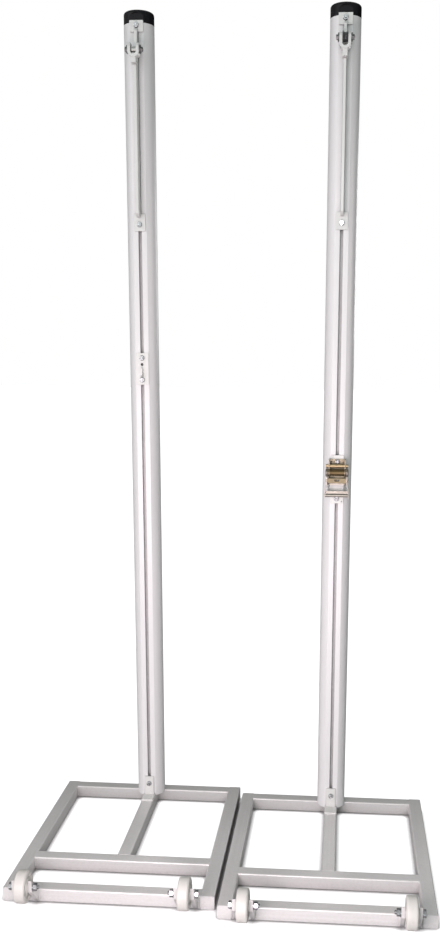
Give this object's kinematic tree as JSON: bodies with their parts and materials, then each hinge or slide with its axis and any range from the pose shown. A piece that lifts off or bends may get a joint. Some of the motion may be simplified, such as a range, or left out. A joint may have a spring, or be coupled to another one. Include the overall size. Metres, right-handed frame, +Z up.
{
  "type": "portable volleyball post pair",
  "caption": "Pair of slotted round posts on wheeled frame bases, with height sliders, a pulley, a tie plate and a webbing ratchet that hold a volleyball net",
  "frame": {"origin": "on the floor, under the middle of the pair's bounding box", "axes": "+X to the right post as seen from the fittings' side, +Y away from the wheels towards the posts, +Z up the posts"},
  "size_m": [1.212, 0.836, 2.5],
  "materials": {
    "base_paint": "light grey powder coat",
    "post_coat": "near-white powder coat on extruded aluminium",
    "cap_plastic": "black injection-moulded plastic",
    "zinc_fastener": "bright zinc plating",
    "wheel_nylon": "cream nylon",
    "slider_paint": "pale grey paint",
    "pulley_plastic": "dark grey nylon",
    "bush_bronze": "sintered bronze",
    "roller_steel": "turned steel",
    "pin_steel": "black oxide",
    "ratchet_zinc": "yellow zinc plating over steel",
    "ratchet_dark": "dark zinc plating over steel",
    "spring_steel": "oiled spring wire"
  },
  "bodies": {
    "bases_and_posts": {"left_rear_bar": "base_paint", "left_outer_bar": "base_paint", "left_inner_bar": "base_paint", "left_crossbar": "base_paint", "left_front_bar": "base_paint", "left_centre_bar": "base_paint", "right_rear_bar": "base_paint", "right_inner_bar": "base_paint", "right_outer_bar": "base_paint", "right_crossbar": "base_paint", "right_front_bar": "base_paint", "right_centre_bar": "base_paint", "tube_end_plates": "base_paint", "left_foot_bracket": "slider_paint", "right_foot_bracket": "slider_paint", "foot_bolts": "zinc_fastener", "post_locators": "base_paint", "left_post": "post_coat", "right_post": "post_coat", "left_post_cap": "cap_plastic", "right_post_cap": "cap_plastic", "wheel_ears": "base_paint", "wheel_sleeves": "zinc_fastener", "wheel_axle_bolts": "zinc_fastener", "wheel_axle_nuts": "zinc_fastener"},
    "left_outer_wheel_body": {"left_outer_wheel": "wheel_nylon"},
    "left_inner_wheel_body": {"left_inner_wheel": "wheel_nylon"},
    "right_inner_wheel_body": {"right_inner_wheel": "wheel_nylon"},
    "right_outer_wheel_body": {"right_outer_wheel": "wheel_nylon"},
    "left_slider": {"left_slider_plates": "slider_paint", "left_slider_bar": "slider_paint", "left_slider_bolts": "zinc_fastener", "left_cord_fork": "slider_paint", "left_fork_pin": "pin_steel"},
    "cord_roller": {"left_cord_roller": "roller_steel"},
    "tie_plate": {"left_tie_plate": "slider_paint", "left_tie_bolts": "zinc_fastener"},
    "right_slider": {"right_slider_plates": "slider_paint", "right_slider_bar": "slider_paint", "right_slider_bolts": "zinc_fastener", "right_pulley_fork": "slider_paint", "right_pulley_bush": "bush_bronze", "right_pulley_pin": "pin_steel"},
    "pulley": {"right_pulley_wheel": "pulley_plastic"},
    "ratchet_carriage": {"ratchet_plate": "slider_paint", "ratchet_plate_bolts": "zinc_fastener", "ratchet_frame": "ratchet_zinc", "ratchet_lock_springs": "spring_steel"},
    "spool": {"ratchet_gears": "ratchet_dark", "ratchet_spool": "ratchet_dark", "ratchet_washers": "ratchet_dark"},
    "handle": {"ratchet_handle": "ratchet_zinc", "ratchet_grip": "ratchet_zinc", "ratchet_drive_springs": "spring_steel"},
    "drive_pawl": {"ratchet_drive_pawl": "ratchet_zinc"},
    "lock_pawl": {"ratchet_lock_pawl": "ratchet_zinc"}
  },
  "joints": [
    {"name": "left_outer_wheel_spin", "type": "hinge", "parent": "bases_and_posts", "child": "left_outer_wheel_body", "pos_m": [-0.53, -0.33, 0.074], "axis": [1, 0, 0], "continuous": true},
    {"name": "left_inner_wheel_spin", "type": "hinge", "parent": "bases_and_posts", "child": "left_inner_wheel_body", "pos_m": [-0.082, -0.33, 0.074], "axis": [1, 0, 0], "continuous": true},
    {"name": "right_inner_wheel_spin", "type": "hinge", "parent": "bases_and_posts", "child": "right_inner_wheel_body", "pos_m": [0.082, -0.373, 0.074], "axis": [1, 0, 0], "continuous": true},
    {"name": "right_outer_wheel_spin", "type": "hinge", "parent": "bases_and_posts", "child": "right_outer_wheel_body", "pos_m": [0.53, -0.373, 0.074], "axis": [1, 0, 0], "continuous": true},
    {"name": "left_slider_height", "type": "slide", "parent": "bases_and_posts", "child": "left_slider", "axis": [0, 0, 1], "range_m": [-0.35, 0]},
    {"name": "cord_roller_spin", "type": "hinge", "parent": "left_slider", "child": "cord_roller", "pos_m": [-0.306, 0.28794, 2.379], "axis": [1, 0, 0], "continuous": true},
    {"name": "tie_plate_height", "type": "slide", "parent": "bases_and_posts", "child": "tie_plate", "axis": [0, 0, 1], "range_m": [-0.3, 0]},
    {"name": "right_slider_height", "type": "slide", "parent": "bases_and_posts", "child": "right_slider", "axis": [0, 0, 1], "range_m": [-0.35, 0]},
    {"name": "pulley_spin", "type": "hinge", "parent": "right_slider", "child": "pulley", "pos_m": [0.306, 0.24494, 2.393], "axis": [1, 0, 0], "continuous": true},
    {"name": "ratchet_height", "type": "slide", "parent": "bases_and_posts", "child": "ratchet_carriage", "axis": [0, 0, 1], "range_m": [-0.2, 0.2]},
    {"name": "spool_spin", "type": "hinge", "parent": "ratchet_carriage", "child": "spool", "pos_m": [0.306, 0.26194, 1.157], "axis": [1, 0, 0], "continuous": true},
    {"name": "handle_swing", "type": "hinge", "parent": "ratchet_carriage", "child": "handle", "pos_m": [0.306, 0.26194, 1.157], "axis": [-1, 0, 0], "range_deg": [0, 115]},
    {"name": "drive_pawl_pull", "type": "slide", "parent": "handle", "child": "drive_pawl", "axis": [0, 0, -1], "range_m": [0, 0.005], "stiffness_N_per_m": 200, "deforming": ["ratchet_drive_springs"]},
    {"name": "lock_pawl_lift", "type": "slide", "parent": "ratchet_carriage", "child": "lock_pawl", "axis": [0, 0, 1], "range_m": [0, 0.005], "stiffness_N_per_m": 200, "deforming": ["ratchet_lock_springs"]}
  ]
}
